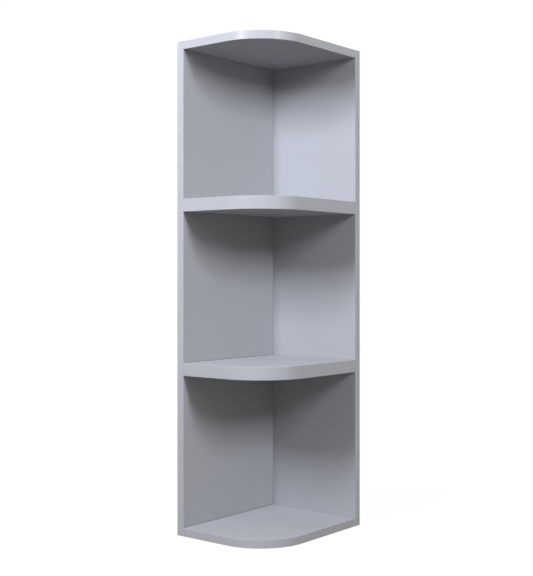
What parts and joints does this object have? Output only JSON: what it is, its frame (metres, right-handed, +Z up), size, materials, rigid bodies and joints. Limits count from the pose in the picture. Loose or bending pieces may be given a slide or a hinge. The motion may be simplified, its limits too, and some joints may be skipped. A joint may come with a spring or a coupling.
{
  "type": "corner shelf unit",
  "caption": "Tall open end shelf unit for a row of wall cabinets: two grey panels meet at a right angle and carry fixed boards with one rounded free corner.",
  "frame": {"origin": "under the middle of the footprint, on the surface that the unit can stand on", "axes": "+X along the wall, from the neighbouring cabinet to the free end; +Y into the wall; +Z up"},
  "size_m": [0.228, 0.295, 0.96],
  "materials": {
    "grey_board": "satin grey laminate on both faces of a particle board core",
    "grey_band": "semi-matt grey plastic edge band, a little glossier than the faces",
    "zinc_screw": "bright zinc plate",
    "beech_dowel": "bare beech",
    "hanger_steel": "zinc-plated pressed steel"
  },
  "bodies": {
    "root": {"side_panel": "grey_board", "back_panel": "grey_board", "bottom_board": "grey_board", "lower_shelf": "grey_board", "upper_shelf": "grey_board", "top_board": "grey_board", "side_panel_front_band": "grey_band", "side_panel_top_band": "grey_band", "side_panel_bottom_band": "grey_band", "back_panel_end_band": "grey_band", "back_panel_top_band": "grey_band", "back_panel_bottom_band": "grey_band", "bottom_board_band": "grey_band", "lower_shelf_band": "grey_band", "upper_shelf_band": "grey_band", "top_board_band": "grey_band", "bottom_board_screws": "zinc_screw", "lower_shelf_screws": "zinc_screw", "upper_shelf_screws": "zinc_screw", "top_board_screws": "zinc_screw", "corner_joint_screws": "zinc_screw", "left_hanger_screws": "zinc_screw", "right_hanger_screws": "zinc_screw", "bottom_board_dowels": "beech_dowel", "lower_shelf_dowels": "beech_dowel", "upper_shelf_dowels": "beech_dowel", "top_board_dowels": "beech_dowel", "corner_joint_dowels": "beech_dowel", "left_hanger_plate": "hanger_steel", "right_hanger_plate": "hanger_steel"}
  },
  "joints": []
}
